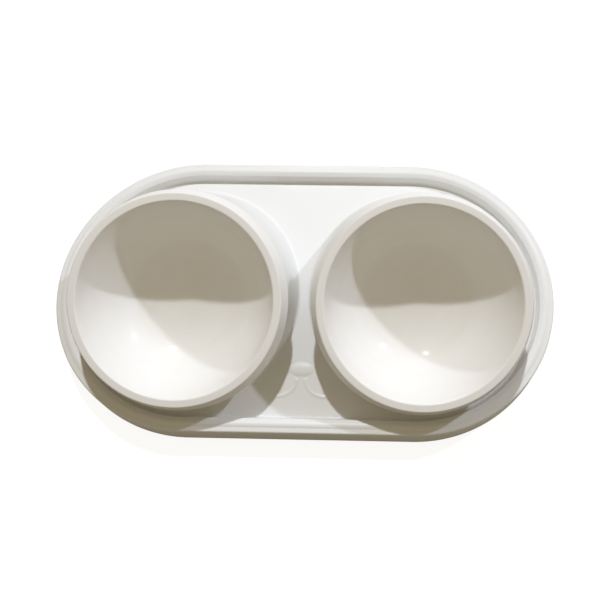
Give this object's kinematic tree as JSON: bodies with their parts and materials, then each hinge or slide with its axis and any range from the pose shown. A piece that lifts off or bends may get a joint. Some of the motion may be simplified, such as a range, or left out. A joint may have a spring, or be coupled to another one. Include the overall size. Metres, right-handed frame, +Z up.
{
  "type": "double pet bowl",
  "caption": "Double pet bowl: a long round-ended tray with raised slanted collars that hold lift-out bowls tilted towards the front, on rubber feet.",
  "frame": {"origin": "centre of the footprint, on the surface that the feet stand on", "axes": "+Z up, +X along the tray towards the right bowl, -Y towards the front, where the bowls tilt down and the raised muzzle is"},
  "size_m": [0.31, 0.177, 0.0701],
  "materials": {
    "base_plastic": "white moulded plastic, semi-gloss",
    "bowl_plastic": "warm white moulded plastic, glossy",
    "foot_rubber": "matt pale grey rubber"
  },
  "bodies": {
    "tray": {"base_tray": "base_plastic", "foot_front_left": "foot_rubber", "foot_front_right": "foot_rubber", "foot_back_left": "foot_rubber", "foot_back_right": "foot_rubber"},
    "bowl_left": {"bowl_left": "bowl_plastic"},
    "bowl_right": {"bowl_right": "bowl_plastic"}
  },
  "joints": [
    {"name": "bowl_left_lift", "type": "slide", "parent": "tray", "child": "bowl_left", "axis": [0, -0.309, 0.9511], "range_m": [0, 0.06]},
    {"name": "bowl_right_lift", "type": "slide", "parent": "tray", "child": "bowl_right", "axis": [0, -0.309, 0.9511], "range_m": [0, 0.06]}
  ]
}
